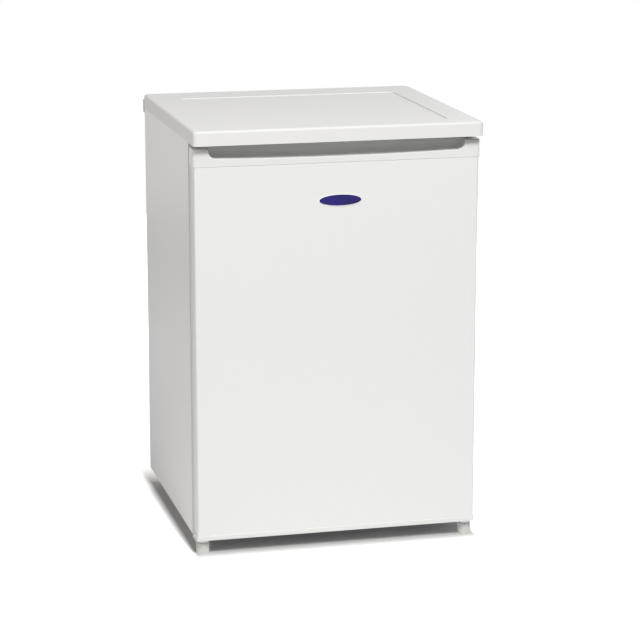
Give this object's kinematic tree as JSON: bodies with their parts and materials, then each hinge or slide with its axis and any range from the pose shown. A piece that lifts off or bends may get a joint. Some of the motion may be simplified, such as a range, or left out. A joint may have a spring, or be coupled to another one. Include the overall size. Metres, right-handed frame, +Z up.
{
  "type": "larder refrigerator",
  "caption": "White free-standing under-counter larder refrigerator with a hinged door, handle recess, glass shelves, crisper and wire condenser.",
  "frame": {"origin": "on the floor, under the middle of the outside box", "axes": "+X right for someone facing the door, -Y the front, +Z up"},
  "size_m": [0.574, 0.56, 0.845],
  "materials": {
    "worktop_plastic": "satin white moulding",
    "worktop_laminate": "white laminate on particle board",
    "grey_plastic": "matt light grey",
    "screw_steel": "zinc plated",
    "white_steel": "white paint, soft gloss",
    "zinc_sheet": "galvanised, dull",
    "foam": "rigid foam, stands in for polyurethane",
    "liner_plastic": "glossy white polystyrene",
    "evaporator_aluminium": "mill finish",
    "black_painted_tube": "black paint, satin",
    "black_painted_steel": "black paint, gloss",
    "pump_iron": "as cast",
    "grommet_rubber": "matt black",
    "black_plastic": "matt black",
    "copper_tube": "bare copper, dulled",
    "pin_steel": "turned",
    "brass_insert": "turned",
    "foot_plastic": "matt off-white",
    "switch_plastic": "satin white",
    "shelf_glass": "clear toughened glass",
    "trim_plastic": "glossy white",
    "clear_plastic": "clear polystyrene",
    "knob_plastic": "glossy white",
    "bulb_glass": "clear bulb",
    "door_trim_plastic": "satin white moulding",
    "gasket_rubber": "soft white",
    "badge_blue": "blue enamel, bare of any mark"
  },
  "bodies": {
    "cabinet": {"worktop_frame": "worktop_plastic", "worktop_panel": "worktop_laminate", "rear_spacers": "grey_plastic", "cabinet_screws": "screw_steel", "side_panel_left": "white_steel", "side_panel_right": "white_steel", "top_panel": "white_steel", "base_panel": "zinc_sheet", "back_panel": "zinc_sheet", "cabinet_foam": "foam", "inner_liner": "liner_plastic", "evaporator": "evaporator_aluminium", "drain_tube": "grey_plastic", "condenser_tube": "black_painted_tube", "condenser_wires": "black_painted_tube", "condenser_clips": "grey_plastic", "compressor_base_plate": "zinc_sheet", "compressor_shell": "black_painted_steel", "compressor_pump": "pump_iron", "compressor_grommets": "grommet_rubber", "compressor_bolts": "screw_steel", "relay_cover": "black_plastic", "evaporation_tray": "black_plastic", "filter_drier": "copper_tube", "suction_tube": "copper_tube", "capillary_tube": "copper_tube", "cable_gland": "black_plastic", "top_hinge_bracket": "white_steel", "bottom_hinge_bracket": "zinc_sheet", "left_foot_bracket": "zinc_sheet", "bottom_hinge_pin": "pin_steel", "rear_feet": "foot_plastic", "light_switch_body": "switch_plastic", "top_shelf_glass": "shelf_glass", "middle_shelf_glass": "shelf_glass", "lower_shelf_glass": "shelf_glass", "crisper_cover_glass": "shelf_glass", "shelf_trims": "trim_plastic", "thermostat_housing": "trim_plastic", "lamp_cover": "clear_plastic", "lamp_bulb": "bulb_glass"},
    "door": {"hinge_bushes": "grey_plastic", "door_skin": "white_steel", "door_top_trim": "door_trim_plastic", "door_bottom_trim": "door_trim_plastic", "door_foam": "foam", "door_liner": "liner_plastic", "door_gasket": "gasket_rubber", "badge_plate": "badge_blue", "dairy_balcony": "clear_plastic", "middle_balcony": "clear_plastic", "bottle_balcony": "clear_plastic"},
    "light_switch_plunger": {"light_switch_plunger": "switch_plastic"},
    "thermostat_knob": {"thermostat_knob": "knob_plastic"},
    "crisper_drawer": {"crisper_drawer": "clear_plastic"},
    "foot_insert_left": {"foot_insert_left": "brass_insert"},
    "foot_insert_right": {"foot_insert_right": "brass_insert"},
    "front_foot_left": {"front_foot_left": "foot_plastic"},
    "front_foot_right": {"front_foot_right": "foot_plastic"}
  },
  "joints": [
    {"name": "door_hinge", "type": "hinge", "parent": "cabinet", "child": "door", "pos_m": [0.2695, -0.238, 0.4], "axis": [0, 0, 1], "range_deg": [0, 120]},
    {"name": "light_switch_slide", "type": "slide", "parent": "cabinet", "child": "light_switch_plunger", "axis": [0, -1, 0], "range_m": [0, 0.00601]},
    {"name": "thermostat_knob_turn", "type": "hinge", "parent": "cabinet", "child": "thermostat_knob", "pos_m": [0.2015, -0.042, 0.7225], "axis": [-1, 0, 0], "range_deg": [0, 270]},
    {"name": "crisper_slide", "type": "slide", "parent": "cabinet", "child": "crisper_drawer", "axis": [0, -1, 0], "range_m": [0, 0.02]},
    {"name": "left_foot_rise", "type": "slide", "parent": "cabinet", "child": "foot_insert_left", "axis": [0, 0, -1], "range_m": [0, 0.012]},
    {"name": "left_foot_screw", "type": "hinge", "parent": "foot_insert_left", "child": "front_foot_left", "pos_m": [-0.2695, -0.238, 0], "axis": [0, 0, -1], "range_deg": [0, 3457]},
    {"name": "right_foot_rise", "type": "slide", "parent": "cabinet", "child": "foot_insert_right", "axis": [0, 0, -1], "range_m": [0, 0.012]},
    {"name": "right_foot_screw", "type": "hinge", "parent": "foot_insert_right", "child": "front_foot_right", "pos_m": [0.2695, -0.238, 0], "axis": [0, 0, -1], "range_deg": [0, 3457]}
  ],
  "couplings": [
    {"joint": "light_switch_slide", "follows": "door_hinge", "m_per_rad": 0.0028648},
    {"joint": "left_foot_screw", "follows": "left_foot_rise", "rad_per_m": 5026.5},
    {"joint": "right_foot_screw", "follows": "right_foot_rise", "rad_per_m": 5026.5}
  ]
}
